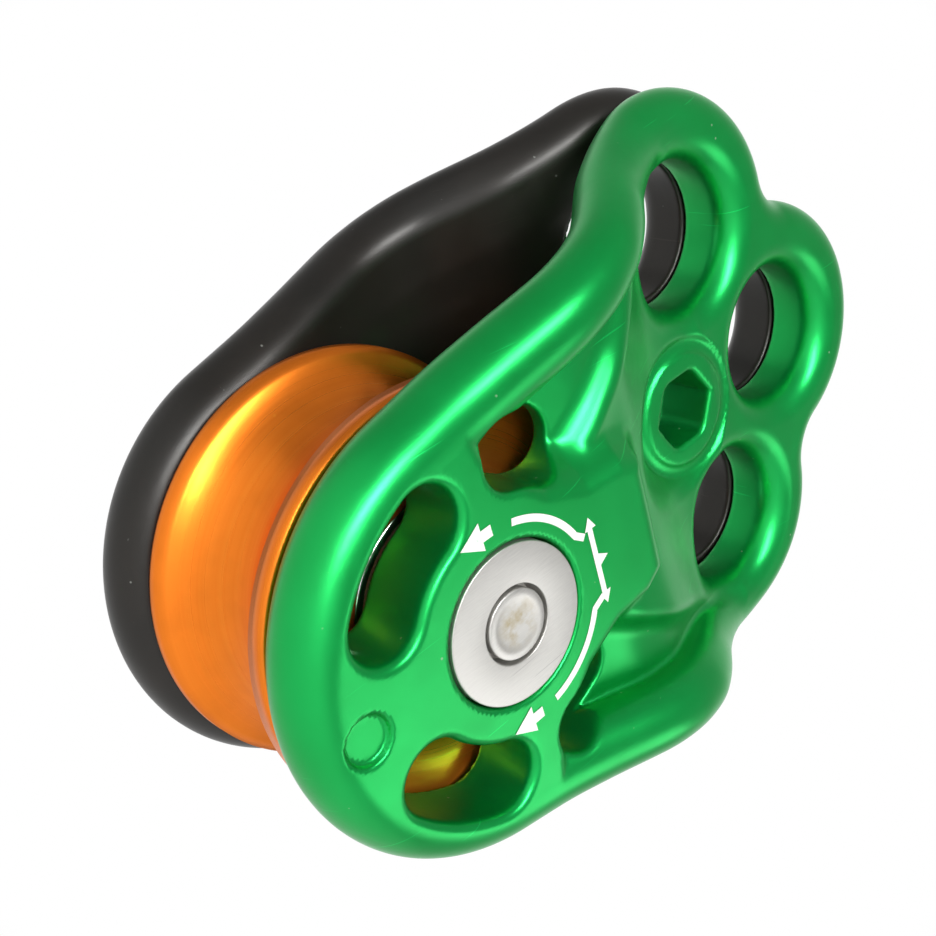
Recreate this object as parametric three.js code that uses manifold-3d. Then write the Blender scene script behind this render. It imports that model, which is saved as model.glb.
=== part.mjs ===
// Rope pulley for tree climbing and rigging: two forged cheek plates that swing about one axle, a grooved
// sheave on two sealed ball bearings, and three connector eyes where the cheeks close on each other.
// Millimetres, +Z up. The origin is the centre of the middle eye, the pulley hangs from it, and the axle
// lies along Y. The front cheek is on the -Y side and the rear cheek is its mirror image.
import * as THREE from 'three';
import { mergeVertices } from 'three/addons/utils/BufferGeometryUtils.js';
import Module from 'manifold-3d';

const wasm = await Module();
wasm.setup();

// ---- driving dimensions -----------------------------------------------------------------------------
const axleDrop = 65.2;            // middle eye centre to the axle
const eyeCircleRadius = 21.7;     // the three eyes lie on a circle round the hexagon
const eyeAngles = [18, 90, 162];  // degrees on that circle
const eyeRadius = 9.3;
const lobeRadius = 17.8;          // outside of each eye
const notchRadius = 6;            // hollow between two lobes
const sheaveEndRadius = 27;       // round end of the cheeks
const hexagonAcrossFlats = 9.5;
const webFaceY = 21.1;            // flat outside face round the axle
const cheekInsideY = 12;          // inside face beside the sheave
const cheekGap = 0.15;            // each cheek's face to the middle plane, at the eyes
const railWidth = 8.5;            // thick edge of a cheek

const sheaveRadius = 25;
const treadRadius = 19;           // bottom of the rope groove
const grooveHalfWidth = 8.6;
const sheaveHalfWidth = 10.5;
const lipRound = 0.9;

const bearingY = 6;               // centre of each bearing from the middle plane
const bearingHalfWidth = 4;
const bearingBore = 10;
const bearingOutside = 26;
const pitchRadius = 9;
const ballRadius = 2.38;
const ballCount = 7;
const raceClearance = 0.12;       // ball to raceway

const headRadius = 9;
const headThickness = 3;
const hubRadius = 6.5;
const neckRadius = 3.5;
const rivetRadius = 4;
const rivetThickness = 1.2;
const runningGap = 0.2;           // between round faceted neighbours

const roundSegments = 28;
const sheaveSegments = 40;
const edgeSegments = 8;           // per arc of an outline

// ---- materials --------------------------------------------------------------------------------------
const finish = (color, roughness, metalness) =>
  () => new THREE.MeshStandardMaterial({ color, roughness, metalness });
const greenAnodised = finish(0x12a04c, 0.35, 0.7);
const blackAnodised = finish(0x1b1b1c, 0.45, 0.6);
const orangeAnodised = finish(0xe0781c, 0.32, 0.75);
const brushedSteel = finish(0xb9b7b2, 0.38, 0.95);
const bearingSteel = finish(0xc7c9cb, 0.2, 1);
const sealRubber = finish(0x161616, 0.75, 0);
const cagePolymer = finish(0x7a5a34, 0.6, 0);
const washerPolymer = finish(0xd8d4c8, 0.55, 0);

// ---- solids -----------------------------------------------------------------------------------------
function toSolid(geometry) {
  const plain = geometry.index ? geometry.toNonIndexed() : geometry.clone();
  plain.deleteAttribute('normal');
  plain.deleteAttribute('uv');
  const merged = mergeVertices(plain, 1e-4);
  const vertProperties = new Float32Array(merged.attributes.position.array);
  const triVerts = new Uint32Array(merged.index.array);
  return new wasm.Manifold(new wasm.Mesh({ numProp: 3, vertProperties, triVerts }));
}

function toGeometry(solid) {
  const { vertProperties, triVerts } = solid.getMesh();
  const geometry = new THREE.BufferGeometry();
  geometry.setAttribute('position', new THREE.BufferAttribute(new Float32Array(vertProperties), 3));
  geometry.setIndex(new THREE.BufferAttribute(new Uint32Array(triVerts), 1));
  geometry.computeVertexNormals();
  return geometry;
}

// An (x, z) outline made into a solid from lowY to highY.
function throughY(outline, lowY, highY, curveSegments = edgeSegments) {
  const depth = highY - lowY;
  const geometry = new THREE.ExtrudeGeometry(outline, { depth, bevelEnabled: false, curveSegments });
  return geometry.rotateX(Math.PI / 2).translate(0, highY, 0);
}

// A (y, z) outline made into a solid reaching halfWidth to each side of X = 0.
function throughX(outline, halfWidth) {
  const depth = 2 * halfWidth;
  const geometry = new THREE.ExtrudeGeometry(outline, { depth, bevelEnabled: false });
  const turn = new THREE.Matrix4().makeBasis(
    new THREE.Vector3(0, 1, 0), new THREE.Vector3(0, 0, 1), new THREE.Vector3(1, 0, 0));
  return geometry.translate(0, 0, -halfWidth).applyMatrix4(turn);
}

function cylinderY(radius, lowY, highY, segments = roundSegments) {
  return new THREE.CylinderGeometry(radius, radius, highY - lowY, segments)
    .translate(0, (lowY + highY) / 2, 0);
}

// A closed ring turned about the axle from [radius, y] corners.
function ring(corners, segments = roundSegments) {
  const points = corners.map(([radius, y]) => new THREE.Vector2(radius, y));
  const doubledArea = points.reduce((sum, point, i) =>
    sum + point.cross(points[(i + 1) % points.length]), 0);
  if (doubledArea < 0) points.reverse();
  points.push(points[0].clone());
  return new THREE.LatheGeometry(points, segments);
}

const mirrorCorners = (corners, side) => corners.map(([radius, y]) => [radius, side * y]);
const straightRing = (inner, outer, lowY, highY) =>
  ring([[inner, lowY], [outer, lowY], [outer, highY], [inner, highY]]);

function mirroredInY(geometry) {
  const mirrored = geometry.clone().scale(1, -1, 1);
  const index = mirrored.index.array;
  for (let i = 0; i < index.length; i += 3) [index[i], index[i + 1]] = [index[i + 1], index[i]];
  mirrored.computeVertexNormals();
  return mirrored;
}

// ---- cheek plate, with the axle at the origin ---------------------------------------------------------
const radians = (degrees) => THREE.MathUtils.degToRad(degrees);
const onCircle = (radius, degrees) =>
  new THREE.Vector2(radius * Math.cos(radians(degrees)), radius * Math.sin(radians(degrees)));
const hexagonCentre = new THREE.Vector2(0, axleDrop - eyeCircleRadius);
const eyeCentres = eyeAngles.map((angle) => onCircle(eyeCircleRadius, angle).add(hexagonCentre));
const [rightEye, middleEye, leftEye] = eyeCentres;

// How far the straight sides lean out, as the common tangent of the round end and an outer lobe.
const sideLean = Math.atan2(rightEye.x, rightEye.y)
  - Math.asin((sheaveEndRadius - lobeRadius) / rightEye.length());

function notchBetween(first, second) {
  const middle = first.clone().add(second).multiplyScalar(0.5);
  const halfSpan = first.distanceTo(second) / 2;
  const reach = Math.sqrt((lobeRadius + notchRadius) ** 2 - halfSpan ** 2);
  const outward = middle.clone().sub(hexagonCentre).normalize();
  return middle.addScaledVector(outward, reach);
}

// The whole edge of a cheek. A positive inset moves it inwards by that much.
function cheekOutline(inset = 0) {
  const lobe = lobeRadius - inset;
  const notch = notchRadius + inset;
  const rightNotch = notchBetween(rightEye, middleEye);
  const leftNotch = notchBetween(middleEye, leftEye);
  const direction = (from, to) => Math.atan2(to.y - from.y, to.x - from.x);
  const outline = new THREE.Shape();
  outline.absarc(0, 0, sheaveEndRadius - inset, -Math.PI + sideLean, -sideLean, false);
  outline.absarc(rightEye.x, rightEye.y, lobe, -sideLean, direction(rightEye, rightNotch), false);
  outline.absarc(rightNotch.x, rightNotch.y, notch,
    direction(rightNotch, rightEye), direction(rightNotch, middleEye), true);
  outline.absarc(middleEye.x, middleEye.y, lobe,
    direction(middleEye, rightNotch), direction(middleEye, leftNotch), false);
  outline.absarc(leftNotch.x, leftNotch.y, notch,
    direction(leftNotch, middleEye), direction(leftNotch, leftEye), true);
  outline.absarc(leftEye.x, leftEye.y, lobe, direction(leftEye, leftNotch), Math.PI + sideLean, false);
  return outline;
}

// Side view of the plate as [height over the axle, distance from the middle plane]. It stands clear of
// the sheave, swells a little above it and then sweeps in until the two cheeks meet at the eyes.
const outsideLine = [[-40, 21.1], [4, 21.1], [12, 22.2], [19, 23], [25, 22.3], [32, 18.6], [38, 14],
  [44, 10.6], [50, 8.7], [55, 8.5], [90, 8.5]];
const insideLine = [[-40, cheekInsideY], [9, cheekInsideY], [19, 13.9], [26, 12.8], [32, 8.4],
  [38, 4], [44, 1.4], [50, 0.3], [54, cheekGap], [90, cheekGap]];
const pocketFloorLine = insideLine.map(([z, y]) => [z, y + 3.6]);
const farOutsideLine = [[-40, 40], [90, 40]];

function bandSolid(innerLine, outerLine) {
  const corners = [...innerLine, ...outerLine.toReversed()].map(([z, y]) => new THREE.Vector2(y, z));
  return toSolid(throughX(new THREE.Shape(corners), axleDrop));
}

// A bean-shaped window that follows a circle round the axle.
function windowOutline({ centreRadius, halfWidth, from, to }) {
  const start = onCircle(centreRadius, from);
  const end = onCircle(centreRadius, to);
  const [a, b] = [radians(from), radians(to)];
  const outline = new THREE.Shape();
  outline.absarc(0, 0, centreRadius + halfWidth, a, b, false);
  outline.absarc(end.x, end.y, halfWidth, b, b + Math.PI, false);
  outline.absarc(0, 0, centreRadius - halfWidth, b, a, true);
  outline.absarc(start.x, start.y, halfWidth, a + Math.PI, a + 2 * Math.PI, false);
  return outline;
}

const lowerWindow = { centreRadius: 17.65, halfWidth: 4.05, from: 303, to: 336 };
const upperWindow = { centreRadius: 18, halfWidth: 4.1, from: 14, to: 34 };
const acrossX = ({ from, to, ...rest }) => ({ ...rest, from: 180 - to, to: 180 - from });

function hexagonOutline(acrossFlats) {
  const corners = [30, 90, 150, 210, 270, 330].map((angle) =>
    onCircle(acrossFlats / Math.sqrt(3), angle).add(hexagonCentre));
  return new THREE.Shape(corners);
}

// The hollow on each side between the central rib and the thick edge.
function flutePocketOutline(side) {
  const corners = [[19.8, 3], [20.8, 9], [22.8, 18], [24.6, 27], [21.5, 30.5], [15, 31], [9.8, 25.5],
    [9.8, 13], [12, 8.5], [16.5, 4]];
  return new THREE.Shape(corners.map(([x, z]) => new THREE.Vector2(side * x, z)));
}

const tagRecess = { z: -20.6, radius: 2.8, depth: 1.3 };
const bossFaceY = 8.7;
const bossRadius = 9.5;

function cheekGeometry() {
  const through = (outline) => toSolid(throughY(outline, -5, 45));
  let plate = through(cheekOutline()).intersect(bandSolid(insideLine, outsideLine));
  const aboveWeb = toSolid(throughY(cheekOutline(railWidth), webFaceY, 45))
    .intersect(toSolid(cylinderY(axleDrop / 2, -5, 45)));
  const besideBoss = toSolid(cylinderY(bossRadius, bossFaceY, 45).translate(0, 0, hexagonCentre.y));
  plate = plate.subtract(aboveWeb).subtract(besideBoss);
  for (const side of [-1, 1]) {
    const pocket = through(flutePocketOutline(side)).intersect(bandSolid(pocketFloorLine, farOutsideLine));
    plate = plate.subtract(pocket);
  }
  for (const shape of [lowerWindow, upperWindow, acrossX(lowerWindow), acrossX(upperWindow)]) {
    plate = plate.subtract(through(windowOutline(shape)));
  }
  for (const centre of eyeCentres) {
    plate = plate.subtract(toSolid(cylinderY(eyeRadius, -5, 45).translate(centre.x, 0, centre.y)));
  }
  plate = plate.subtract(through(hexagonOutline(hexagonAcrossFlats)));
  plate = plate.subtract(toSolid(cylinderY(hubRadius + runningGap, -5, 45)));
  const seatY = webFaceY - headThickness - runningGap;
  plate = plate.subtract(toSolid(cylinderY(headRadius + runningGap, seatY, 45)));
  const recess = cylinderY(tagRecess.radius, webFaceY - tagRecess.depth, 45, 16);
  return toGeometry(plate.subtract(toSolid(recess.translate(0, 0, tagRecess.z))));
}

// ---- sheave -----------------------------------------------------------------------------------------
const bearingSeatRadius = bearingOutside / 2;
const seatLipRadius = bearingSeatRadius - 1.5;
const seatLipHalfWidth = bearingY - bearingHalfWidth - runningGap;

function sheaveGeometry() {
  const sideY = sheaveHalfWidth - 0.2;
  const corners = [[bearingSeatRadius, sideY], [bearingSeatRadius, seatLipHalfWidth],
    [seatLipRadius, seatLipHalfWidth], [seatLipRadius, -seatLipHalfWidth],
    [bearingSeatRadius, -seatLipHalfWidth], [bearingSeatRadius, -sideY], [20.5, -sideY],
    [21.5, -sheaveHalfWidth], [sheaveRadius - lipRound, -sheaveHalfWidth],
    [sheaveRadius, -sheaveHalfWidth + lipRound]];
  const grooveSteps = 8;
  for (let step = 0; step <= grooveSteps; step += 1) {
    const across = -1 + (2 * step) / grooveSteps;
    const rise = 1 - Math.sqrt(1 - (0.94 * across) ** 2);
    corners.push([treadRadius + (sheaveRadius - treadRadius) * rise / 0.66, across * grooveHalfWidth]);
  }
  corners.push([sheaveRadius, sheaveHalfWidth - lipRound], [sheaveRadius - lipRound, sheaveHalfWidth],
    [21.5, sheaveHalfWidth], [20.5, sideY]);
  return ring(corners, sheaveSegments);
}

// ---- bearings, each built round y = 0 -----------------------------------------------------------------
const innerRaceOutside = 7.1;
const outerRaceInside = 10.9;
const sealSeatRadius = 11.35;

function grooveCorners(shoulderRadius, towardAxle) {
  const grooveRadius = ballRadius + raceClearance;
  const halfAngle = Math.acos(Math.abs(pitchRadius - shoulderRadius) / grooveRadius);
  return [-1, -0.5, 0, 0.5, 1].map((part) => {
    const angle = part * halfAngle;
    const radial = grooveRadius * Math.cos(angle);
    return [towardAxle ? pitchRadius - radial : pitchRadius + radial, grooveRadius * Math.sin(angle)];
  });
}

function innerRaceGeometry() {
  const bore = bearingBore / 2 + runningGap;
  const end = bearingHalfWidth;
  return ring([[bore, -end], [innerRaceOutside, -end], ...grooveCorners(innerRaceOutside, true),
    [innerRaceOutside, end], [bore, end]]);
}

function outerRaceGeometry() {
  const outside = bearingOutside / 2 - runningGap;
  const end = bearingHalfWidth;
  const step = end - 1;
  return ring([[outside, end], [sealSeatRadius, end], [sealSeatRadius, step], [outerRaceInside, step],
    ...grooveCorners(outerRaceInside, false).reverse(), [outerRaceInside, -step],
    [sealSeatRadius, -step], [sealSeatRadius, -end], [outside, -end]]);
}

const sealGeometry = () => straightRing(innerRaceOutside + 0.15, sealSeatRadius - 0.15, -0.3, 0.3);

function cageGeometry() {
  let cage = toSolid(straightRing(8.4, 9.6, -2.85, 2.85));
  for (let i = 0; i < ballCount; i += 1) {
    const place = onCircle(pitchRadius, (360 * i) / ballCount);
    const pocket = new THREE.SphereGeometry(ballRadius + raceClearance, 12, 7);
    cage = cage.subtract(toSolid(pocket.translate(place.x, 0, place.y)));
  }
  return toGeometry(cage);
}

// ---- axle -------------------------------------------------------------------------------------------
const bearingEndY = bearingY + bearingHalfWidth;
const rivetInsideY = webFaceY - rivetThickness;

function axlePinGeometry() {
  const shoulderY = bearingEndY - runningGap;
  const halfPin = [[bearingBore / 2, shoulderY], [neckRadius, shoulderY], [neckRadius, rivetInsideY],
    [rivetRadius, rivetInsideY], [rivetRadius, webFaceY - 0.2], [rivetRadius - 0.2, webFaceY],
    [rivetRadius - 1, webFaceY], [rivetRadius - 1.6, webFaceY - 0.15], [0, webFaceY - 0.3]];
  const otherHalf = mirrorCorners(halfPin, -1).reverse();
  const points = [...otherHalf, ...halfPin].map(([radius, y]) => new THREE.Vector2(radius, y));
  return new THREE.LatheGeometry(points, roundSegments);
}

function axleHeadGeometry(side) {
  const bore = neckRadius + runningGap;
  const rivetSeat = rivetRadius + 0.35;
  const flangeBackY = webFaceY - headThickness;
  const seatFloorY = rivetInsideY - runningGap;
  const corners = [[bore, bearingEndY + runningGap], [hubRadius, bearingEndY + runningGap],
    [hubRadius, flangeBackY], [headRadius, flangeBackY], [headRadius, webFaceY - 0.4],
    [headRadius - 0.4, webFaceY], [rivetSeat, webFaceY], [rivetSeat, seatFloorY], [bore, seatFloorY]];
  return ring(mirrorCorners(corners, side));
}

function thrustWasherGeometry(side) {
  const inner = hubRadius + runningGap;
  const low = bearingEndY + 0.35;
  const high = cheekInsideY - runningGap;
  return ring(mirrorCorners([[inner, low], [9.2, low], [9.2, high], [inner, high]], side));
}

function racesSpacerGeometry() {
  const halfWidth = bearingY - bearingHalfWidth - runningGap;
  return straightRing(bearingBore / 2 + runningGap, 6.8, -halfWidth, halfWidth);
}

// ---- assembly ---------------------------------------------------------------------------------------
const pulley = new THREE.Group();
pulley.position.z = -axleDrop;

function addPiece(name, geometry, material, y = 0) {
  const mesh = new THREE.Mesh(geometry, material());
  mesh.name = name;
  mesh.position.y = y;
  pulley.add(mesh);
  return mesh;
}

const rearCheek = cheekGeometry();
addPiece('rear_cheek_plate', rearCheek, blackAnodised);
addPiece('front_cheek_plate', mirroredInY(rearCheek), greenAnodised);
addPiece('sheave', sheaveGeometry(), orangeAnodised);
addPiece('axle_pin', axlePinGeometry(), brushedSteel);
addPiece('bearing_race_spacer', racesSpacerGeometry(), bearingSteel);

for (const [end, side] of [['front', -1], ['rear', 1]]) {
  addPiece(`${end}_axle_head`, axleHeadGeometry(side), brushedSteel);
  addPiece(`${end}_thrust_washer`, thrustWasherGeometry(side), washerPolymer);
  addPiece(`${end}_bearing_inner_race`, innerRaceGeometry(), bearingSteel, side * bearingY);
  addPiece(`${end}_bearing_outer_race`, outerRaceGeometry(), bearingSteel, side * bearingY);
  addPiece(`${end}_bearing_cage`, cageGeometry(), cagePolymer, side * bearingY);
  const sealOffset = bearingHalfWidth - 0.45;
  addPiece(`${end}_bearing_outside_seal`, sealGeometry(), sealRubber, side * (bearingY + sealOffset));
  addPiece(`${end}_bearing_inside_seal`, sealGeometry(), sealRubber, side * (bearingY - sealOffset));
  for (let i = 0; i < ballCount; i += 1) {
    const place = onCircle(pitchRadius, (360 * i) / ballCount);
    const ball = new THREE.SphereGeometry(ballRadius, 12, 6).translate(place.x, 0, place.y);
    addPiece(`${end}_bearing_ball_${i + 1}`, ball, bearingSteel, side * bearingY);
  }
}

const assembly = new THREE.Group();
assembly.add(pulley);
export default assembly;
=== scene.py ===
# Looks for the rope pulley: smooth forged cheeks, a turned sheave, the axle and the two ball bearings.
# Shapes are worked out in millimetres with the axle at the origin: x to the right, d is the distance from
# the plane where the cheeks meet, z up towards the eyes. They are turned into metres when a mesh is made.
import math

import bpy
import numpy as np
from mathutils import Matrix, Vector


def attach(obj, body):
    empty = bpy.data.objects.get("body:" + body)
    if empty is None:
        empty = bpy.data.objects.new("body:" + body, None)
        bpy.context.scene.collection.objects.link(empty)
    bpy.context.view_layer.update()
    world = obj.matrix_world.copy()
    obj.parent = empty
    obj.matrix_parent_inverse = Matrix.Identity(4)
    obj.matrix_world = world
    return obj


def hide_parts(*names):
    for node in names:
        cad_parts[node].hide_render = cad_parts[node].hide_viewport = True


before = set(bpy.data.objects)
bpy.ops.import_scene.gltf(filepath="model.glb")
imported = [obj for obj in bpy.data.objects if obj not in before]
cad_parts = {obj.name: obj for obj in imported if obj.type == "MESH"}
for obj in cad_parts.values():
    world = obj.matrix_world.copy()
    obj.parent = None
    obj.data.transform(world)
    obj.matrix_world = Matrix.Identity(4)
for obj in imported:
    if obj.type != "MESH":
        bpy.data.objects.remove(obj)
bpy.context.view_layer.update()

# ---- driving dimensions --------------------------------------------------------------------------
# As in the CAD part, except that the hexagon and the boss round it are a little smaller here, and the
# sheave's flanges a little wider.
AXLE_DROP = 65.2
EYE_CIRCLE = 21.7
EYE_RADIUS = 9.3
LOBE_RADIUS = 17.8
NOTCH_RADIUS = 6.0
END_RADIUS = 27.0
HEX_FLATS = 9.1
WEB_FACE = 21.1
BOSS_FACE = 8.7
BOSS_RADIUS = 7.4
SHEAVE_RADIUS = 25.0
TREAD_RADIUS = 19.0
BEARING_Y = 6.0
PITCH_RADIUS = 9.0
BALL_RADIUS = 2.38
BALL_COUNT = 7
RACE_CLEARANCE = 0.12
HEX_CENTRE = (0.0, AXLE_DROP - EYE_CIRCLE)
SIDE_EYE = (EYE_CIRCLE * math.sin(math.radians(72)),
            HEX_CENTRE[1] + EYE_CIRCLE * math.cos(math.radians(72)))
TOP_EYE = (0.0, AXLE_DROP)
SIDES = {"front": -1, "rear": 1}
# Windows: radius of the middle line round the axle, half width, start and end angle in degrees.
LOWER_WINDOW = (17.6, 4.15, -56, -23)
UPPER_WINDOW = (18.4, 3.95, 17, 34)
AXLE_HOLE = 6.7
HEAD_SEAT = 9.25
HEAD_SEAT_FLOOR = 17.9
MARK_RADIUS = 2.7
MARK_DROP = 20.6
MARK_DEPTH = 0.8


def to_frame(points):
    """Millimetres round the axle to metres in the row frame."""
    return (np.asarray(points, float) - [0, 0, AXLE_DROP]) / 1000


# ---- camera, first of all ------------------------------------------------------------------------
def aim(eye_mm, target_mm, roll_deg):
    """A camera or light matrix that looks from one point at another."""
    eye, target = (Vector(to_frame(p)) for p in (eye_mm, target_mm))
    turn = (target - eye).to_track_quat("-Z", "Y").to_matrix().to_4x4()
    return Matrix.Translation(eye) @ turn @ Matrix.Rotation(math.radians(roll_deg), 4, "Z")


CAMERA_AT = (-79.09, -112.98, -66.38)
CAMERA_TARGET = (-9.07, -5.15, 10.89)
CAMERA_ROLL = 55.36
camera_data = bpy.data.cameras.new("camera")
camera = bpy.data.objects.new("camera", camera_data)
bpy.context.scene.collection.objects.link(camera)
camera_data.sensor_width = 36
camera_data.lens = 50.84
camera_data.clip_start = 0.005
camera_data.clip_end = 20
camera.matrix_world = aim(CAMERA_AT, CAMERA_TARGET, CAMERA_ROLL)
bpy.context.scene.camera = camera


# ---- blending of distance fields (negative inside) -----------------------------------------------
def smooth_min(a, b, k):
    share = np.maximum(k - np.abs(a - b), 0) / k
    return np.minimum(a, b) - share * share * k / 4


def smooth_max(a, b, k):
    return -smooth_min(-a, -b, k)


def round_max(a, b, radius):
    """What is left when b is cut from a, with the edge rounded to that radius."""
    return np.minimum(-radius, np.maximum(a, b)) + np.hypot(
        np.maximum(a + radius, 0), np.maximum(b + radius, 0))


def smooth_step(low, high, value):
    t = np.clip((value - low) / (high - low), 0, 1)
    return t * t * (3 - 2 * t)


class Profile:
    """A smooth curve through a few [z, value] corners, and its slope."""

    def __init__(self, corners, softness):
        self.z = np.arange(-45, 95, 0.1)
        known = np.array(corners, float)
        sharp = np.interp(self.z, known[:, 0], known[:, 1])
        reach = np.arange(-4 * softness, 4 * softness + 0.05, 0.1)
        weight = np.exp(-0.5 * (reach / softness) ** 2)
        padded = np.pad(sharp, len(reach) // 2, mode="edge")
        self.value = np.convolve(padded, weight / weight.sum(), mode="valid")[:len(self.z)]
        self.slope = np.gradient(self.value, self.z)

    def __call__(self, z):
        return np.interp(z, self.z, self.value)

    def cosine(self, z):
        return 1 / np.hypot(1, np.interp(z, self.z, self.slope))


# ---- cheek outline -------------------------------------------------------------------------------
SIDE_LEAN = (math.atan2(SIDE_EYE[0], SIDE_EYE[1])
             - math.asin((END_RADIUS - LOBE_RADIUS) / math.hypot(*SIDE_EYE)))


def notch_centre():
    """Centre of the hollow that touches both lobes beside it."""
    middle = np.add(SIDE_EYE, TOP_EYE) / 2
    half_span = math.dist(SIDE_EYE, TOP_EYE) / 2
    outward = middle - HEX_CENTRE
    reach = math.sqrt((LOBE_RADIUS + NOTCH_RADIUS) ** 2 - half_span ** 2)
    return middle + outward / np.linalg.norm(outward) * reach


def arc_distance(x, z, centre, radius, start, end, hollow=False):
    """Distance to an arc that runs anticlockwise from start to end, only where it is the nearest point."""
    dx, dz = x - centre[0], z - centre[1]
    middle, half = (start + end) / 2, (end - start) / 2
    off = np.abs(np.angle(np.exp(1j * (np.arctan2(dz, dx) - middle))))
    distance = np.hypot(dx, dz) - radius
    return np.where(off <= half + 0.01, -distance if hollow else distance, 1e3)


def angle_to(start, end):
    return math.atan2(end[1] - start[1], end[0] - start[0])


def outline_distance(x, z):
    """Signed distance to the outline of a cheek, negative inside."""
    x = np.abs(x)
    notch = notch_centre()
    side_to_notch, top_to_notch = angle_to(SIDE_EYE, notch), angle_to(TOP_EYE, notch)
    normal = np.array([math.cos(SIDE_LEAN), -math.sin(SIDE_LEAN)])
    foot = normal * END_RADIUS
    along = (x - foot[0]) * -normal[1] + (z - foot[1]) * normal[0]
    straight = (x - foot[0]) * normal[0] + (z - foot[1]) * normal[1]
    length = math.sqrt(math.hypot(*SIDE_EYE) ** 2 - (END_RADIUS - LOBE_RADIUS) ** 2)
    parts = [
        arc_distance(x, z, (0, 0), END_RADIUS, -math.pi / 2 - 0.1, -SIDE_LEAN),
        np.where((along >= -0.1) & (along <= length + 0.1), straight, 1e3),
        arc_distance(x, z, SIDE_EYE, LOBE_RADIUS, -SIDE_LEAN, side_to_notch),
        arc_distance(x, z, notch, NOTCH_RADIUS, top_to_notch + math.pi, side_to_notch + math.pi, True),
        arc_distance(x, z, TOP_EYE, LOBE_RADIUS, top_to_notch, math.pi / 2 + 0.1),
    ]
    nearest = parts[0]
    for part in parts[1:]:
        nearest = np.where(np.abs(part) < np.abs(nearest), part, nearest)
    return nearest


# ---- cheek surfaces ------------------------------------------------------------------------------
rail_centre = Profile([[-45, 16.45], [2, 16.5], [9, 17.3], [18, 18.7], [23, 18.3], [27.6, 16.7], [32.2, 13.6],
                       [36.8, 9.9], [41.4, 7.2], [46, 5.3], [51, 4.4], [56, 4.25], [95, 4.25]], 1.8)
rail_radius = Profile([[-45, 4.6], [6, 4.6], [40, 4.1], [95, 4.1]], 3)
flute_floor = Profile([[-45, 15.7], [9, 15.8], [19, 17], [26, 15.9], [32, 12.9], [37, 10.4], [42, 9.1],
                       [48, 8.8], [95, 8.8]], 1.6)
PLATEAU = [(0, 22.3), (6.8, 22.1), (8.4, 19.5), (8.9, 14), (11.3, 8.6), (16.2, 3.4), (19.6, 1.6),
           (40, -3), (40, -60), (0, -60)]


def polygon_distance(x, z, corners):
    """Signed distance to a polygon, negative inside."""
    best = np.full(np.broadcast(x, z).shape, 1e6)
    inside = np.zeros(best.shape, bool)
    for (ax, az), (bx, bz) in zip(corners, corners[1:] + corners[:1]):
        ex, ez = bx - ax, bz - az
        px, pz = x - ax, z - az
        t = np.clip((px * ex + pz * ez) / (ex * ex + ez * ez), 0, 1)
        best = np.minimum(best, (px - t * ex) ** 2 + (pz - t * ez) ** 2)
        if ez != 0:
            crosses = ((az > z) != (bz > z)) & (x < ax + (z - az) * ex / ez)
            inside = inside ^ crosses
    return np.where(inside, -1, 1) * np.sqrt(best)


def outside_face(x, z):
    """Distance of the outer face of the web from the middle plane, leaving out the thick edge."""
    x = np.abs(x)
    floor = flute_floor(z)
    height = 1.9 * smooth_step(46, 30, z)
    ridge_x = 9 + 0.67 * (np.clip(z, 5, 60) - 13.7)
    inner = floor + height * (x / ridge_x) ** 2
    outer = floor + height - 0.85 * (x - ridge_x)
    flute = smooth_max(floor - 0.3, smooth_min(inner, outer, 1.5), 1.6)
    edge = polygon_distance(x, z, [(-20, 22.3)] + PLATEAU[1:-1] + [(-20, -60)])
    plateau = smooth_min(WEB_FACE + 0 * edge, WEB_FACE - 1.4 * edge, 1.8)
    face = smooth_min(smooth_max(plateau, flute, 1.6), WEB_FACE + 0 * edge, 0.1)
    from_boss = np.hypot(x, z - HEX_CENTRE[1])
    beside = BOSS_FACE - 0.1 + 1.1 * np.maximum(from_boss - BOSS_RADIUS - 1.6, 0)
    face = smooth_min(face, beside, 1.0)
    face = smooth_max(face, BOSS_FACE - 2 * np.maximum(from_boss - BOSS_RADIUS + 0.2, 0), 1.0)
    groove = np.exp(-((from_boss - BOSS_RADIUS - 1.1) / 1.0) ** 2)
    return face - 0.3 * groove


def window_distance(x, z, centre_radius, half_width, start, end):
    """Positive inside a bean-shaped window that follows a circle round the axle."""
    x = np.abs(x)
    angle = np.degrees(np.arctan2(z, x))
    along = np.abs(np.hypot(x, z) - centre_radius)
    ends = []
    for corner in (math.radians(start), math.radians(end)):
        ends.append(np.hypot(x - centre_radius * math.cos(corner), z - centre_radius * math.sin(corner)))
    between = (angle >= start) & (angle <= end)
    return half_width - np.where(between, along, np.minimum(*ends))


def hexagon_distance(x, z):
    """Positive inside the hexagonal hole, whose corners are a little round."""
    x, z = np.abs(x), np.abs(z - HEX_CENTRE[1])
    slanted = x * math.cos(math.radians(60)) + z * math.sin(math.radians(60))
    return HEX_FLATS / 2 - smooth_max(x, slanted, 1.1)


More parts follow.
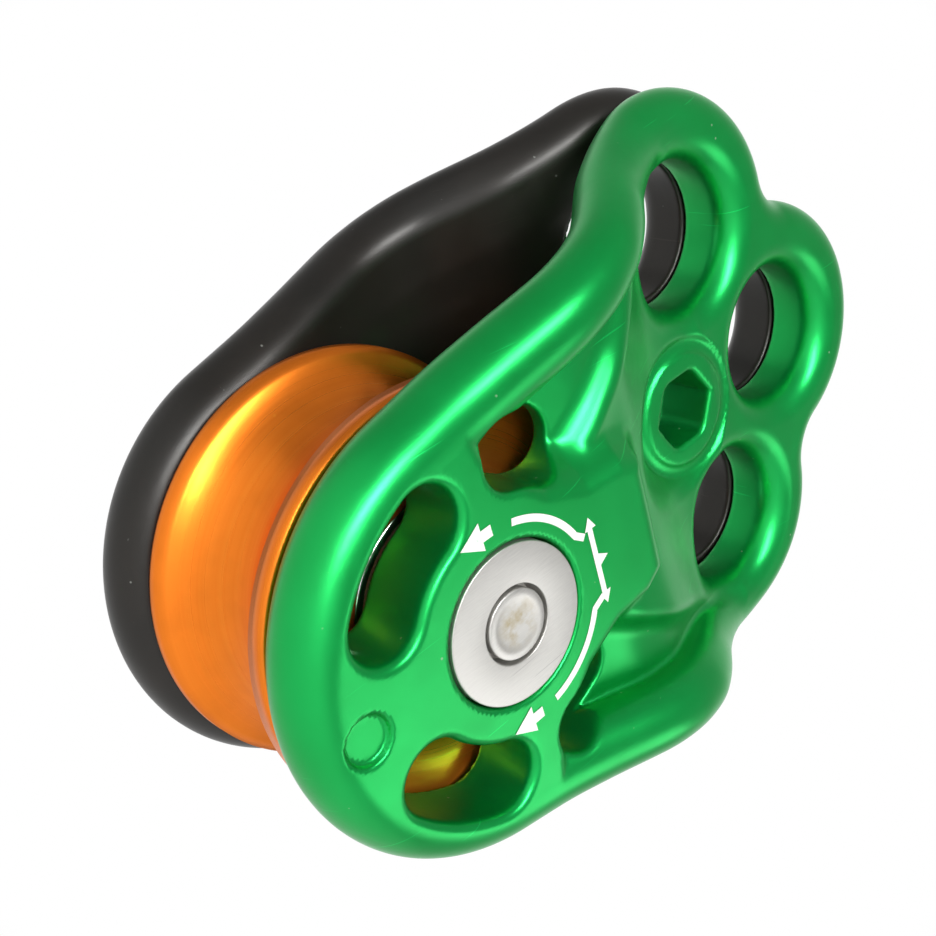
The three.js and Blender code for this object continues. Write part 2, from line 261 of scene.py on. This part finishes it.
def cheek_field(x, d, z):
    """One cheek: a thick rounded edge, a thinner web, and the holes cut from both."""
    edge = outline_distance(x, z)
    centre, radius, lean = rail_centre(z), rail_radius(z), rail_centre.cosine(z)
    from_axle = np.hypot(x, z)
    level = (d - centre) * lean
    rail = np.hypot(edge + radius, level) - radius
    rounded = np.hypot(np.maximum(edge + radius, 0), level) - radius
    inner = centre - radius / lean
    dish = 0.5 * smooth_step(-9, -14, edge) * smooth_step(47, 38, z) * smooth_step(12, 16, from_axle)
    outer = outside_face(x, z)
    crispness = 0.15 + 0.75 * smooth_step(8, 14, z)
    body = np.maximum(rounded, smooth_min(rail, (d - outer) * 0.85, crispness))
    hollow = smooth_min(inner + dish - d, -edge - radius, 0.8)
    body = np.maximum(body, hollow)
    front = d > centre
    for eye in (SIDE_EYE, TOP_EYE):
        bore = EYE_RADIUS - np.hypot(np.abs(x) - eye[0], z - eye[1])
        body = round_max(body, bore, np.where(front, 3.7, 0.45))
    lower = window_distance(x, z, *LOWER_WINDOW)
    upper = window_distance(x, z, *UPPER_WINDOW)
    body = round_max(body, lower, np.where(front, 1.1, 0.4))
    body = round_max(body, upper, np.where(front, 0.5, 0.4))
    body = round_max(body, hexagon_distance(x, z), np.where(front, 0.6, 0.3))
    body = round_max(body, AXLE_HOLE - from_axle, 0.25)
    body = round_max(body, np.minimum(HEAD_SEAT - from_axle, d - HEAD_SEAT_FLOOR), 0.4)
    mark = smooth_min(MARK_RADIUS - np.hypot(x, z + MARK_DROP), d - WEB_FACE + MARK_DEPTH, 0.5)
    return round_max(body, mark, 0.4)


# ---- meshes --------------------------------------------------------------------------------------
def surface_net(field, low, high, step):
    """Square faces along the zero surface of a field, with the vertices moved exactly onto it."""
    axes = [np.arange(a, b + step, step) for a, b in zip(low, high)]
    values = field(axes[0][:, None, None], axes[1][None, :, None], axes[2][None, None, :])
    values = np.ascontiguousarray(np.broadcast_to(values, [len(a) for a in axes]))
    inside = values < 0
    cells = np.array(values.shape) - 1
    total = np.zeros([*cells, 3])
    count = np.zeros(cells)
    corner_slices = lambda offset: tuple(slice(o, o + n) for o, n in zip(offset, cells))
    for axis in range(3):
        others = [a for a in range(3) if a != axis]
        for first in (0, 1):
            for second in (0, 1):
                start = [0, 0, 0]
                start[others[0]], start[others[1]] = first, second
                end = list(start)
                end[axis] = 1
                a, b = values[corner_slices(start)], values[corner_slices(end)]
                crossed = (a < 0) != (b < 0)
                share = np.where(crossed, a / np.where(crossed, a - b, 1), 0)
                count += crossed
                for other, offset in zip(others, (first, second)):
                    total[..., other] += crossed * offset
                total[..., axis] += share
    used = count > 0
    number = np.full(cells, -1)
    number[used] = np.arange(used.sum())
    place = np.argwhere(used) + total[used] / count[used][:, None]
    points = np.array(low) + place * step
    faces = []
    for axis in range(3):
        u, v = (axis + 1) % 3, (axis + 2) % 3
        size = np.array(values.shape)
        near, far = [slice(None)] * 3, [slice(None)] * 3
        near[axis], far[axis] = slice(0, size[axis] - 1), slice(1, size[axis])
        here, there = inside[tuple(near)], inside[tuple(far)]
        spots = np.argwhere(here != there)
        leaving = here[tuple(spots.T)]
        spots, leaving = (a[(spots[:, u] > 0) & (spots[:, v] > 0)] for a in (spots, leaving))
        quad = []
        for du, dv in ((1, 1), (0, 1), (0, 0), (1, 0)):
            cell = spots.copy()
            cell[:, u] -= du
            cell[:, v] -= dv
            quad.append(number[tuple(cell.T)])
        quad = np.stack(quad, 1)
        quad[~leaving] = quad[~leaving][:, ::-1]
        faces.append(quad)
    faces = np.concatenate(faces)
    at = lambda p: field(p[:, 0], p[:, 1], p[:, 2])
    for _ in range(3):
        points = points - limited_step(at, points, step)
    normals = gradient(at, points, 0.3)
    return points, faces, normals / np.maximum(np.linalg.norm(normals, axis=1, keepdims=True), 1e-9)


def gradient(at, points, reach):
    moves = np.eye(3) * reach
    return np.stack([at(points + move) - at(points - move) for move in moves], 1) / (2 * reach)


def limited_step(at, points, step):
    slope = gradient(at, points, 0.02)
    size = np.maximum((slope * slope).sum(1), 0.05)
    move = slope * (at(points) / size)[:, None]
    length = np.linalg.norm(move, axis=1, keepdims=True)
    return move * np.minimum(1, 0.35 * step / np.maximum(length, 1e-9))


def make_piece(name, points, faces, materials, body, nodes, slot_name, normals=None, face_material=None):
    mesh = bpy.data.meshes.new(name)
    faces = [list(map(int, face)) for face in faces]
    mesh.from_pydata(to_frame(points).tolist(), [], faces)
    mesh.validate()
    mesh.shade_smooth()
    for one in materials:
        mesh.materials.append(one)
    if face_material is not None:
        mesh.polygons.foreach_set("material_index", np.array(face_material, np.int32))
    if normals is not None:
        mesh.normals_split_custom_set_from_vertices(np.asarray(normals).tolist())
    piece = bpy.data.objects.new(name, mesh)
    bpy.context.scene.collection.objects.link(piece)
    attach(piece, body)
    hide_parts(*nodes)
    return piece


def fillet_profile(corners, radius, steps=5):
    """Rounds every corner of a closed [r, y] outline, by at most a third of its shorter side."""
    corners = np.array(corners, float)
    points = []
    for before, corner, after in zip(np.roll(corners, 1, 0), corners, np.roll(corners, -1, 0)):
        to_before, to_after = before - corner, after - corner
        reach = min(radius, np.linalg.norm(to_before) / 3, np.linalg.norm(to_after) / 3)
        start = corner + to_before / np.linalg.norm(to_before) * reach
        end = corner + to_after / np.linalg.norm(to_after) * reach
        for t in np.linspace(0, 1, steps):
            points.append((1 - t) ** 2 * start + 2 * t * (1 - t) * corner + t * t * end)
    return points


def turned(profile, segments=192):
    """A ring turned about the axle from a closed [r, y] outline."""
    profile = np.array(profile, float)
    area = np.sum(profile[:, 0] * np.roll(profile[:, 1], -1) - np.roll(profile[:, 0], -1) * profile[:, 1])
    if area < 0:
        profile = profile[::-1]
    angles = np.arange(segments) * 2 * math.pi / segments
    r, y = profile[:, 0], profile[:, 1]
    points = np.stack([np.outer(np.cos(angles), r), np.tile(y, (segments, 1)),
                       np.outer(np.sin(angles), r)], -1)
    count = len(profile)
    i, j = np.meshgrid(np.arange(segments), np.arange(count), indexing="ij")
    a, b = i * count + j, i * count + (j + 1) % count
    c, d = ((i + 1) % segments) * count + (j + 1) % count, ((i + 1) % segments) * count + j
    return points.reshape(-1, 3), np.stack([a, b, c, d], -1).reshape(-1, 4)


# ---- materials -----------------------------------------------------------------------------------
class Nodes:
    """A small helper that adds shader nodes to one material."""

    def __init__(self, name):
        self.material = bpy.data.materials.new(name)
        self.material.use_nodes = True
        self.tree = self.material.node_tree
        self.shader = self.tree.nodes["Principled BSDF"]
        self.place = self.add("ShaderNodeTexCoord").outputs["Object"]

    def add(self, kind, inputs=None, **settings):
        node = self.tree.nodes.new(kind)
        for key, value in settings.items():
            setattr(node, key, value)
        for key, value in (inputs or {}).items():
            self.put(value, node.inputs[key])
        return node

    def put(self, value, socket):
        if isinstance(value, bpy.types.NodeSocket):
            self.tree.links.new(value, socket)
        else:
            socket.default_value = value

    def math(self, operation, a, b=0.0, clamp=False):
        return self.add("ShaderNodeMath", {0: a, 1: b}, operation=operation, use_clamp=clamp).outputs[0]

    def noise(self, scale, detail=2.0, roughness=0.5, place=None):
        values = {"Vector": place or self.place, "Scale": scale, "Detail": detail, "Roughness": roughness}
        return self.add("ShaderNodeTexNoise", values).outputs["Fac"]

    def stretched(self, scale, turn):
        """Object coordinates squeezed to draw long thin marks."""
        values = {"Vector": self.place, "Scale": scale, "Rotation": turn}
        return self.add("ShaderNodeMapping", values).outputs[0]

    def remap(self, value, low, high, to_low=0.0, to_high=1.0):
        values = {"Value": value, "From Min": low, "From Max": high, "To Min": to_low, "To Max": to_high}
        return self.add("ShaderNodeMapRange", values).outputs[0]

    def mix(self, share, a, b):
        node = self.add("ShaderNodeMix", data_type="RGBA")
        for socket, value in zip((node.inputs[0], node.inputs[6], node.inputs[7]), (share, a, b)):
            self.put(value, socket)
        return node.outputs[2]

    def set(self, **values):
        for key, value in values.items():
            self.put(value, self.shader.inputs[key.replace("_", " ")])

    def bump(self, height, strength, distance):
        values = {"Height": height, "Strength": strength, "Distance": distance}
        self.put(self.add("ShaderNodeBump", values).outputs[0], self.shader.inputs["Normal"])


def shade(colour, factor):
    return (*[min(1.0, c * factor) for c in colour], 1.0)


def dust_and_scratches(n, speck_size):
    """Masks for pale specks and for a few fine scratches."""
    cells = n.add("ShaderNodeTexVoronoi", {"Vector": n.place, "Scale": 1 / speck_size, "Randomness": 1.0})
    chosen = n.remap(n.noise(400), 0.62, 0.66)
    specks = n.math("MULTIPLY", n.remap(cells.outputs["Distance"], 0.11, 0.07), chosen)
    marks = 0.0
    for turn, scale in (((0.3, 0.5, 0.9), (2600, 60, 60)), ((0.2, 1.1, 2.1), (2200, 50, 50)),
                        ((1.0, 0.2, 0.4), (3000, 70, 70))):
        lines = n.remap(n.noise(1.0, 1.0, place=n.stretched(scale, turn)), 0.775, 0.80)
        marks = n.math("MAXIMUM", lines, marks)
    return specks, marks


def anodised(name, colour, deep, metallic, roughness, coat, dust):
    n = Nodes(name)
    specks, scratches = dust_and_scratches(n, 0.0016)
    broad = n.remap(n.noise(70, 3), 0.3, 0.7)
    paint = n.mix(broad, (*deep, 1), (*colour, 1))
    paint = n.mix(n.math("MULTIPLY", scratches, 0.35), paint, shade(colour, 2.4))
    paint = n.mix(n.math("MULTIPLY", specks, dust), paint, (0.75, 0.78, 0.72, 1))
    grain = n.noise(5200, 2, 0.6)
    orange_peel = n.noise(650, 2)
    rough = n.math("ADD", n.remap(n.noise(240, 3), 0.3, 0.7, roughness - 0.03, roughness + 0.04),
                   n.math("MULTIPLY", specks, 0.3))
    n.set(Base_Color=paint, Metallic=metallic, Roughness=rough, Coat_Weight=coat, Coat_Roughness=0.25)
    height = n.math("ADD", n.math("MULTIPLY", grain, 0.35), n.math("MULTIPLY", orange_peel, 0.5))
    height = n.math("ADD", height, n.math("MULTIPLY", scratches, -0.25))
    n.bump(height, 0.16, 0.00012)
    return n.material


def radius_and_depth(n):
    """Distance from the axle and place along it, in metres."""
    split = n.add("ShaderNodeSeparateXYZ", {0: n.place})
    up = n.math("ADD", split.outputs["Z"], AXLE_DROP / 1000)
    across = n.math("MULTIPLY", split.outputs["X"], split.outputs["X"])
    radius = n.math("SQRT", n.math("ADD", across, n.math("MULTIPLY", up, up)))
    return radius, split.outputs["Y"]


def turning_marks(n, scale):
    """Noise that runs round the axle as fine rings."""
    radius, depth = radius_and_depth(n)
    rings = n.add("ShaderNodeCombineXYZ", {"X": radius, "Y": depth})
    return n.noise(scale, 3, 0.65, place=rings.outputs[0]), radius


def turned_metal(name, colour, worn, metallic, roughness, ring_scale, ring_bump):
    n = Nodes(name)
    rings, _ = turning_marks(n, ring_scale)
    broad_rings, _ = turning_marks(n, ring_scale / 9)
    specks, scratches = dust_and_scratches(n, 0.0021)
    paint = n.mix(n.remap(broad_rings, 0.35, 0.65), (*colour, 1), (*worn, 1))
    paint = n.mix(n.math("MULTIPLY", n.remap(n.noise(160, 3), 0.45, 0.7), 0.3), paint, shade(colour, 0.72))
    paint = n.mix(n.math("MULTIPLY", specks, 0.4), paint, shade(worn, 1.5))
    rough = n.math("ADD", n.remap(rings, 0.3, 0.7, roughness - 0.05, roughness + 0.06),
                   n.math("MULTIPLY", scratches, 0.15))
    n.set(Base_Color=paint, Metallic=metallic, Roughness=rough)
    n.bump(n.math("ADD", rings, n.math("MULTIPLY", scratches, -0.4)), ring_bump, 0.00006)
    return n.material


def brushed_axle_steel():
    n = Nodes("axle_steel")
    rings, radius = turning_marks(n, 9000)
    fine = n.noise(1.0, 3, 0.7, place=n.stretched((9000, 9000, 420), (0.0, 0.6, 0.0)))
    specks, scratches = dust_and_scratches(n, 0.0013)
    patches = n.remap(n.noise(420, 4, 0.65), 0.42, 0.62)
    metal = n.mix(n.remap(fine, 0.35, 0.65), (0.62, 0.61, 0.58, 1), (0.70, 0.69, 0.655, 1))
    stain_area = n.remap(radius, 0.0033, 0.0012)
    stain = n.math("MULTIPLY", stain_area, patches)
    metal = n.mix(n.math("MULTIPLY", stain, 0.75), metal, (0.52, 0.43, 0.25, 1))
    metal = n.mix(n.math("MULTIPLY", n.math("MAXIMUM", specks, scratches), 0.3), metal, (0.22, 0.21, 0.2, 1))
    rough = n.math("ADD", n.remap(fine, 0.3, 0.7, 0.34, 0.46), n.math("MULTIPLY", stain, 0.2))
    n.set(Base_Color=metal, Metallic=0.9, Roughness=rough)
    n.bump(n.math("ADD", n.math("MULTIPLY", rings, 0.5), fine), 0.25, 0.00005)
    return n.material


def moulded(name, colour, other, roughness, grain_scale, bump):
    n = Nodes(name)
    grain = n.noise(grain_scale, 4, 0.6)
    specks, scratches = dust_and_scratches(n, 0.0019)
    paint = n.mix(n.remap(grain, 0.35, 0.65), (*colour, 1), (*other, 1))
    paint = n.mix(n.math("MULTIPLY", specks, 0.35), paint, shade(other, 2.2))
    rough = n.remap(grain, 0.3, 0.7, roughness - 0.06, roughness + 0.06)
    n.set(Base_Color=paint, Metallic=0.0, Roughness=rough)
    n.bump(n.math("ADD", grain, n.math("MULTIPLY", scratches, -0.3)), bump, 0.00008)
    return n.material


def printed_white():
    n = Nodes("printed_white")
    wear = n.remap(n.noise(1500, 4, 0.7), 0.62, 0.72)
    n.set(Base_Color=n.mix(wear, (0.80, 0.83, 0.78, 1), (0.30, 0.55, 0.36, 1)), Roughness=0.5)
    n.bump(n.noise(3800, 2), 0.2, 0.00003)
    return n.material


green = anodised("green_anodised", (0.003, 0.46, 0.085), (0.002, 0.40, 0.070), 0.80, 0.32, 0.18, 0.4)
black = anodised("black_anodised", (0.020, 0.017, 0.014), (0.013, 0.012, 0.010), 0.4, 0.36, 0.1, 0.22)
orange = turned_metal("orange_anodised", (0.92, 0.215, 0.016), (0.95, 0.25, 0.022), 0.9, 0.31, 9000, 0.08)
axle_steel = brushed_axle_steel()
bearing_steel = turned_metal("bearing_steel", (0.60, 0.60, 0.61), (0.68, 0.68, 0.69), 1.0, 0.16, 7000, 0.12)
rubber = moulded("seal_rubber", (0.012, 0.012, 0.012), (0.022, 0.022, 0.022), 0.62, 2600, 0.3)
polyamide = moulded("cage_polymer", (0.30, 0.19, 0.09), (0.24, 0.15, 0.07), 0.5, 1800, 0.25)
acetal = moulded("washer_polymer", (0.66, 0.63, 0.56), (0.58, 0.55, 0.48), 0.45, 2200, 0.2)
print_paint = printed_white()

# ---- cheeks --------------------------------------------------------------------------------------
CELL = 0.46
cheek_points, cheek_faces, cheek_normals = surface_net(cheek_field, (-40, -1, -29), (40, 25, 85), CELL)


def strip(points, width):
    """A flat band of that width along [x, z] points, as vertices and faces."""
    points = np.array(points, float)
    along = np.gradient(points, axis=0)
    along /= np.linalg.norm(along, axis=1, keepdims=True)
    across = np.stack([along[:, 1], -along[:, 0]], 1) * width / 2
    band = np.concatenate([points + across, points - across])
    n = len(points)
    return band, [[i, i + 1, n + i + 1, n + i] for i in range(n - 1)]


def arc_points(radius, start, end, steps=40):
    angles = np.radians(np.linspace(start, end, steps))
    return np.stack([radius * np.cos(angles), radius * np.sin(angles)], 1)


def arrow_head(tip, direction_deg, length, width):
    along = np.array([math.cos(math.radians(direction_deg)), math.sin(math.radians(direction_deg))])
    across = np.array([-along[1], along[0]])
    base = np.array(tip) - along * length
    return np.array([tip, base + across * width / 2, base - across * width / 2]), [[0, 1, 2]]


def printed_marks():
    """Load-direction arcs and arrows round the axle head, in the plane of the web."""
    bar_z = 12.6
    marks = [
        strip(np.concatenate([arc_points(11.4, 166, 114), [[-3.7, 11.6]]]), 0.85),
        strip([[-4.2, bar_z], [4.2, bar_z]], 0.75),
        strip(np.concatenate([[[4.4, 12.3]], arc_points(11.8, 64, 11)]), 0.85),
        arrow_head([-5.6, bar_z + 0.1], 180, 1.5, 1.7),
        arrow_head([5.6, bar_z + 0.1], 0, 1.5, 1.7),
        arrow_head([0.0, bar_z + 1.7], 90, 1.4, 1.6),
    ]
    for across in (-11.8, 11.8):
        marks.append(strip([[across, 0.1], [across, -1.4]], 1.3))
        marks.append(arrow_head([across, -4.3], 270, 3.0, 3.3))
    points, faces, start = [], [], 0
    for layer, (band, quads) in enumerate(marks):
        level = WEB_FACE + 0.02 + 0.003 * layer
        points.append(np.stack([band[:, 0], np.full(len(band), level), band[:, 1]], 1))
        faces += [[start + i for i in quad] for quad in quads]
        start += len(band)
    return np.concatenate(points), faces


def facing(points, faces, normal):
    """The same faces, each turned to face that way."""
    turned_faces = []
    for face in faces:
        a, b, c = (points[i] for i in face[:3])
        turned_faces.append(face if np.dot(np.cross(b - a, c - a), normal) > 0 else face[::-1])
    return turned_faces


for end, side in SIDES.items():
    flip = np.array([1, side, 1])
    points, faces, normals = cheek_points * flip, cheek_faces, cheek_normals * flip
    if side < 0:
        faces = faces[:, ::-1]
    face_material = np.zeros(len(faces), np.int32)
    materials = [green, print_paint] if end == "front" else [black]
    faces = faces.tolist()
    if end == "front":
        mark_points, mark_faces = printed_marks()
        mark_points = mark_points * flip
        mark_faces = facing(mark_points, mark_faces, (0, -1, 0))
        faces += [[len(points) + i for i in face] for face in mark_faces]
        points = np.concatenate([points, mark_points])
        normals = np.concatenate([normals, np.tile([0, -1, 0], (len(mark_points), 1))])
        face_material = np.concatenate([face_material, np.ones(len(mark_faces), np.int32)])
    make_piece(f"{end}_cheek", points, faces, materials, f"{end}_cheek", [f"{end}_cheek_plate"],
               "green_anodised" if end == "front" else "black_anodised", normals, face_material)


# ---- sheave --------------------------------------------------------------------------------------
def sheave_profile():
    groove = []
    for across in np.linspace(-1, 1, 41):
        rise = 1 - math.sqrt(1 - (0.94 * across) ** 2)
        groove.append([TREAD_RADIUS + (SHEAVE_RADIUS - TREAD_RADIUS) * rise / 0.66, across * 8.9])
    lip = [[SHEAVE_RADIUS - 0.75 * (1 - math.sin(a)), 10.5 + 0.75 * math.cos(a)]
           for a in np.linspace(math.pi / 2, 0, 8)]
    right = [[13, 10.3], [20.4, 10.3], [22.4, 11.1]]
    seat = [[13, 1.8], [11.5, 1.8]]
    mirrored = lambda points: [[r, -y] for r, y in points]
    return (groove + lip + right[::-1] + seat + mirrored(seat[::-1]) + mirrored(right)
            + mirrored(lip[::-1]))


make_piece("sheave_wheel", *turned(sheave_profile(), 256), [orange], "sheave", ["sheave"], "orange_anodised")


# ---- axle ----------------------------------------------------------------------------------------
def solid_turned(half_profile, segments=160):
    """A solid bar turned about the axle: half_profile runs from its widest part out to the end's centre."""
    half = np.array(half_profile, float)
    profile = np.concatenate([half[::-1] * [1, -1], half])
    angles = np.arange(segments) * 2 * math.pi / segments
    rim = profile[1:-1]
    points = np.stack([np.outer(np.cos(angles), rim[:, 0]), np.tile(rim[:, 1], (segments, 1)),
                       np.outer(np.sin(angles), rim[:, 0])], -1).reshape(-1, 3)
    count = len(rim)
    i, j = np.meshgrid(np.arange(segments), np.arange(count - 1), indexing="ij")
    ring = ((i + 1) % segments) * count
    quads = np.stack([i * count + j, i * count + j + 1, ring + j + 1, ring + j], -1).reshape(-1, 4).tolist()
    low, high = len(points), len(points) + 1
    points = np.concatenate([points, [[0, profile[0, 1], 0], [0, profile[-1, 1], 0]]])
    for k in range(segments):
        after = (k + 1) % segments
        quads.append([low, k * count, after * count])
        quads.append([high, after * count + count - 1, k * count + count - 1])
    return points, quads


PIN_HALF = [[5, 0], [5, 9.3], [4.75, 9.7], [3.6, 9.8], [3.5, 9.9], [3.5, 19.8], [3.6, 19.9], [3.86, 19.92],
            [3.95, 20.1], [3.95, 20.98], [3.9, 21.06], [3.82, 21.1], [3.2, 21.1], [2.95, 21.08], [2.7, 21.02],
            [2.2, 20.98], [1.4, 20.95], [0.6, 20.94], [0, 20.94]]
make_piece("axle", *solid_turned(PIN_HALF), [axle_steel], "axle", ["axle_pin"], "axle_steel")


def mirrored_in_y(corners, side):
    return [[r, y * side] for r, y in corners]


HEAD = [[3.7, 10.2], [6.5, 10.2], [6.5, 18.1], [9.0, 18.1], [9.0, 21.1], [4.45, 21.1], [4.45, 18.7],
        [3.7, 18.7]]
WASHER = [[6.7, 10.35], [9.2, 10.35], [9.2, 11.8], [6.7, 11.8]]
for end, side in SIDES.items():
    head = fillet_profile(mirrored_in_y(HEAD, side), 0.16)
    make_piece(f"{end}_head", *turned(head), [axle_steel], "axle", [f"{end}_axle_head"], "axle_steel")
    washer = fillet_profile(mirrored_in_y(WASHER, side), 0.25)
    make_piece(f"{end}_washer", *turned(washer), [acetal], "axle", [f"{end}_thrust_washer"], "washer_polymer")

spacer = fillet_profile([[5.2, -1.8], [6.8, -1.8], [6.8, 1.8], [5.2, 1.8]], 0.3)
make_piece("race_spacer", *turned(spacer), [bearing_steel], "axle", ["bearing_race_spacer"], "bearing_steel")


# ---- bearings ------------------------------------------------------------------------------------
def race_groove(shoulder_radius, inner):
    """[r, y] points of a raceway, from one shoulder to the other."""
    radius = BALL_RADIUS + RACE_CLEARANCE
    half = math.acos(abs(PITCH_RADIUS - shoulder_radius) / radius)
    away = -1 if inner else 1
    return [[PITCH_RADIUS + away * radius * math.cos(a), radius * math.sin(a)]
            for a in np.linspace(-half, half, 17)]


INNER_RACE = [[5.2, -4], [5.35, -4], [7.0, -4], [7.1, -3.85], *race_groove(7.1, True), [7.1, 3.85], [7.0, 4],
              [5.35, 4], [5.2, 3.85]]
OUTER_RACE = [[12.8, 3.7], [12.5, 4], [11.45, 4], [11.35, 3.9], [11.35, 3], [10.9, 3],
              *race_groove(10.9, False)[::-1], [10.9, -3], [11.35, -3], [11.35, -3.9], [11.45, -4],
              [12.5, -4], [12.8, -3.7]]
SEAL = [[7.25, -0.3], [7.6, -0.3], [7.9, -0.12], [8.5, -0.12], [8.8, -0.3], [10.2, -0.3], [10.5, -0.15],
        [10.9, -0.15], [11.2, -0.3], [11.2, 0.3], [10.9, 0.15], [10.5, 0.15], [10.2, 0.3], [8.8, 0.3],
        [8.5, 0.12], [7.9, 0.12], [7.6, 0.3], [7.25, 0.3]]
SEAL_OFFSET = 3.55


def ball_places():
    angles = np.arange(BALL_COUNT) * 2 * math.pi / BALL_COUNT
    return np.stack([PITCH_RADIUS * np.cos(angles), PITCH_RADIUS * np.sin(angles)], 1)


def cage_field(x, y, z):
    """A ring between the races with a round pocket for each ball."""
    from_axle = np.hypot(x, z)
    ring = np.maximum(np.abs(from_axle - PITCH_RADIUS) - 0.6, np.abs(y) - 2.85)
    for bx, bz in ball_places():
        pocket = BALL_RADIUS + RACE_CLEARANCE - np.sqrt((x - bx) ** 2 + y ** 2 + (z - bz) ** 2)
        ring = round_max(ring, pocket, 0.15)
    return ring


def ball(place, y, rows=24, columns=48):
    """A bearing ball as rings of faces between two poles."""
    tilt = np.linspace(0, math.pi, rows + 1)[1:-1]
    turn = np.arange(columns) * 2 * math.pi / columns
    points = [[place[0] + BALL_RADIUS * math.sin(t) * math.cos(a), y + BALL_RADIUS * math.cos(t),
               place[1] + BALL_RADIUS * math.sin(t) * math.sin(a)] for t in tilt for a in turn]
    points += [[place[0], y + BALL_RADIUS, place[1]], [place[0], y - BALL_RADIUS, place[1]]]
    last = len(tilt) - 1
    faces = [[r * columns + c, r * columns + (c + 1) % columns, (r + 1) * columns + (c + 1) % columns,
              (r + 1) * columns + c] for r in range(last) for c in range(columns)]
    for c in range(columns):
        after = (c + 1) % columns
        faces.append([len(points) - 2, after, c])
        faces.append([len(points) - 1, last * columns + c, last * columns + after])
    return points, [face[::-1] for face in faces]


cage_points, cage_faces, cage_normals = surface_net(
    cage_field, (-10.2, -3.4, -10.2), (10.2, 3.4, 10.2), 0.2)

for end, side in SIDES.items():
    shifted = lambda corners, offset: [[r, y + offset] for r, y in corners]
    middle = side * BEARING_Y
    make_piece(f"{end}_inner_race", *turned(shifted(INNER_RACE, middle)), [bearing_steel], "axle",
               [f"{end}_bearing_inner_race"], "bearing_steel")
    make_piece(f"{end}_outer_race", *turned(shifted(OUTER_RACE, middle)), [bearing_steel], "sheave",
               [f"{end}_bearing_outer_race"], "bearing_steel")
    for where, offset in (("outside", SEAL_OFFSET), ("inside", -SEAL_OFFSET)):
        seal = turned(shifted(SEAL, middle + side * offset))
        make_piece(f"{end}_{where}_seal", *seal, [rubber], "sheave", [f"{end}_bearing_{where}_seal"],
                   "seal_rubber")
    make_piece(f"{end}_ball_cage", cage_points + [0, middle, 0], cage_faces, [polyamide], f"{end}_cage",
               [f"{end}_bearing_cage"], "cage_polymer", cage_normals)
    for number, place in enumerate(ball_places(), 1):
        make_piece(f"{end}_ball_{number}", *ball(place, middle), [bearing_steel], f"{end}_cage",
                   [f"{end}_bearing_ball_{number}"], "bearing_steel")


# ---- stage, light and world ----------------------------------------------------------------------
def stage_floor():
    """A plain pale floor, well below the pulley."""
    mesh = bpy.data.meshes.new("floor")
    half, level = 3.0, -0.32
    mesh.from_pydata([(-half, -half, level), (half, -half, level), (half, half, level), (-half, half, level)],
                     [], [[0, 1, 2, 3]])
    floor = bpy.data.objects.new("floor", mesh)
    bpy.context.scene.collection.objects.link(floor)
    n = Nodes("pale_floor")
    n.set(Base_Color=n.mix(n.noise(30, 2), (0.86, 0.86, 0.86, 1), (0.90, 0.90, 0.90, 1)), Roughness=0.8,
          Emission_Color=(1, 1, 1, 1), Emission_Strength=0.22)
    mesh.materials.append(n.material)


def soft_light(name, direction, distance, size, power):
    """A rectangular lamp, placed by its direction to the right, up and back as the camera sees the object."""
    data = bpy.data.lights.new(name, "AREA")
    data.shape = "RECTANGLE"
    data.size, data.size_y = size
    data.energy = power
    lamp = bpy.data.objects.new(name, data)
    bpy.context.scene.collection.objects.link(lamp)
    away = camera.matrix_world.to_3x3() @ Vector(direction).normalized()
    target = Vector(to_frame((0, 0, 22)))
    place = target + away * distance
    turn = (-away).to_track_quat("-Z", "Y").to_matrix().to_4x4()
    lamp.matrix_world = Matrix.Translation(place) @ turn


def pale_world():
    """White behind the object, and a darker room on the camera's side."""
    world = bpy.data.worlds.new("studio")
    bpy.context.scene.world = world
    world.use_nodes = True
    tree = world.node_tree
    place = tree.nodes.new("ShaderNodeTexCoord")
    dot = tree.nodes.new("ShaderNodeVectorMath")
    dot.operation = "DOT_PRODUCT"
    dot.inputs[1].default_value = -camera.matrix_world.to_3x3().col[2]
    ramp = tree.nodes.new("ShaderNodeMapRange")
    ramp.inputs["From Min"].default_value = 0.45
    ramp.inputs["From Max"].default_value = 0.9
    ramp.inputs["To Min"].default_value = 0.34
    ramp.inputs["To Max"].default_value = 1.0
    background = tree.nodes["Background"]
    tree.links.new(place.outputs["Generated"], dot.inputs[0])
    tree.links.new(dot.outputs["Value"], ramp.inputs["Value"])
    tree.links.new(ramp.outputs[0], background.inputs["Strength"])
    background.inputs["Color"].default_value = (1, 1, 1, 1)


stage_floor()
soft_light("key", (0.30, 0.10, 0.94), 0.75, (0.13, 0.80), 8.0)
soft_light("side", (-0.76, 0.0, 0.6), 0.6, (0.10, 0.40), 3.0)
soft_light("low", (0.80, -0.60, 0.02), 0.7, (0.34, 0.34), 0.7)
pale_world()
bpy.context.scene.view_settings.view_transform = "Standard"
